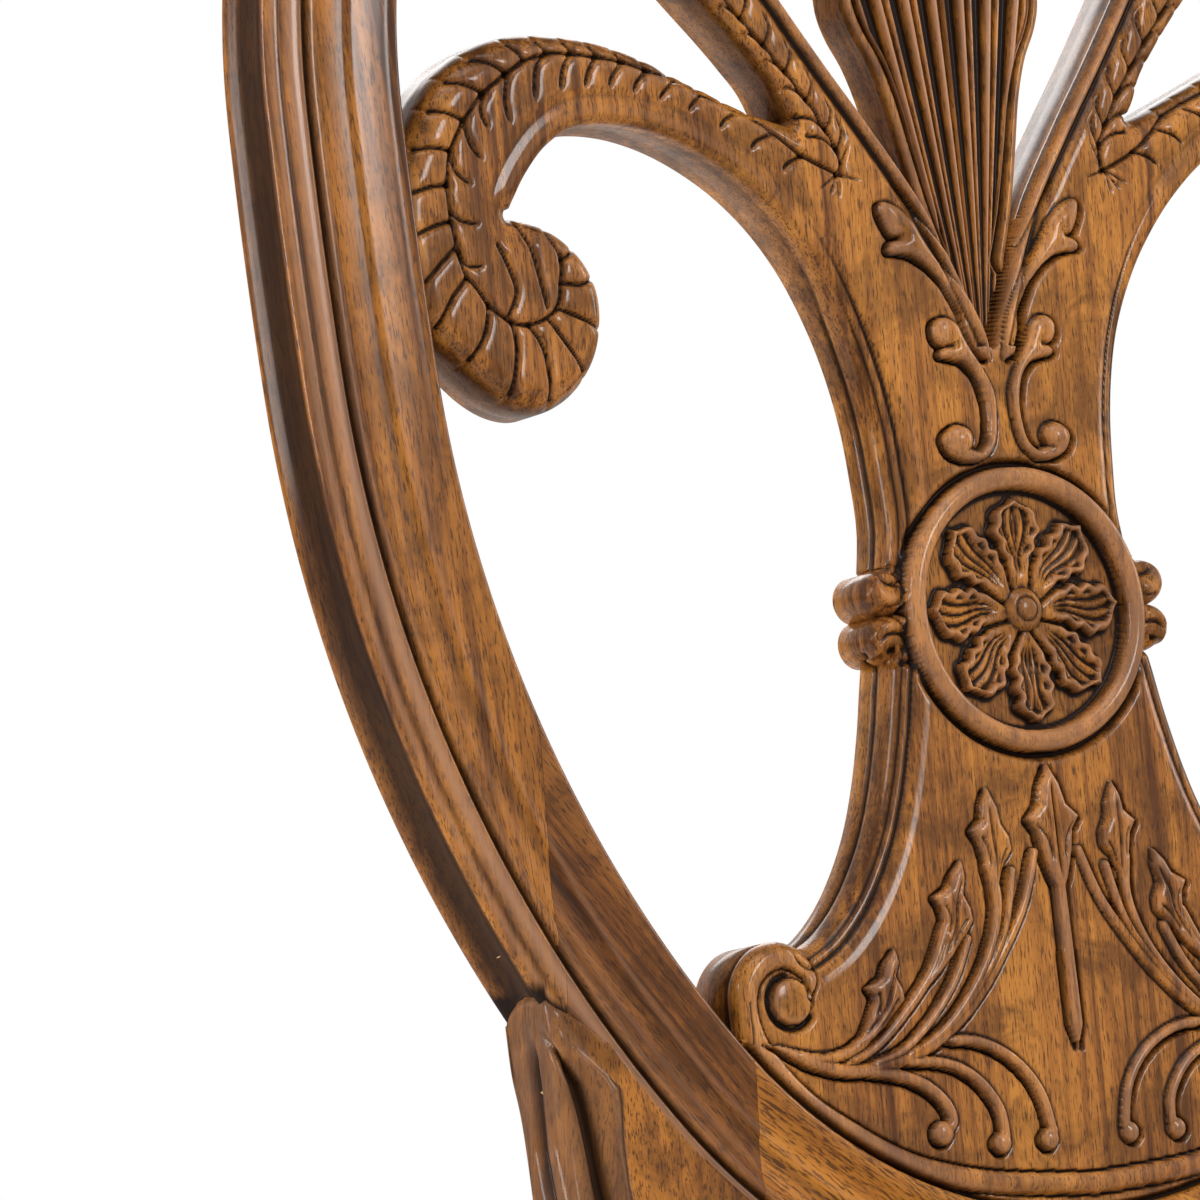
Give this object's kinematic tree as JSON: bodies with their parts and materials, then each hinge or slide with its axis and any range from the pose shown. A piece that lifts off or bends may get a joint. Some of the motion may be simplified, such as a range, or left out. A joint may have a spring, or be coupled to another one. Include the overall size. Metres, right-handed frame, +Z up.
{
  "type": "dining chair",
  "caption": "Shield-back dining chair with a carved, pierced splat, stuffed-over seat, tapered front legs and raked back legs.",
  "frame": {"origin": "on the floor under the middle of the chair's bounding box", "axes": "+Z up; the chair faces -Y; +X to the right of someone looking at its front"},
  "size_m": [0.5096, 0.5954, 0.9967],
  "materials": {
    "mahogany": "polished carved mahogany, lacquered",
    "dark_mahogany": "polished mahogany, darker board",
    "amber_mahogany": "polished mahogany, amber board",
    "beech": "planed beech, unfinished",
    "steel": "zinc plated",
    "jute": "woven jute",
    "hessian": "coarse hessian",
    "horsehair": "stuffing in calico",
    "cover_cloth": "woven cream damask-weight cloth, plain",
    "brass": "antiqued brass",
    "black_cloth": "black cambric",
    "nylon": "brown nylon"
  },
  "bodies": {
    "root": {"crest_rail": "mahogany", "shield_side_left": "mahogany", "shield_side_right": "mahogany", "shield_block_left": "dark_mahogany", "shield_block_right": "dark_mahogany", "shield_bottom_rail": "amber_mahogany", "splat": "mahogany", "rear_leg_left": "mahogany", "rear_leg_right": "mahogany", "front_leg_left": "mahogany", "front_leg_right": "mahogany", "front_rail": "mahogany", "back_rail": "mahogany", "side_rail_left": "mahogany", "side_rail_right": "mahogany", "corner_blocks": "beech", "corner_screws": "steel", "shield_dowels": "beech", "stile_dowels": "beech", "webbing": "jute", "base_cloth": "hessian", "seat_stuffing": "horsehair", "seat_cover": "cover_cloth", "cover_nails": "brass", "dust_cover": "black_cloth", "foot_glides": "nylon"}
  },
  "joints": []
}
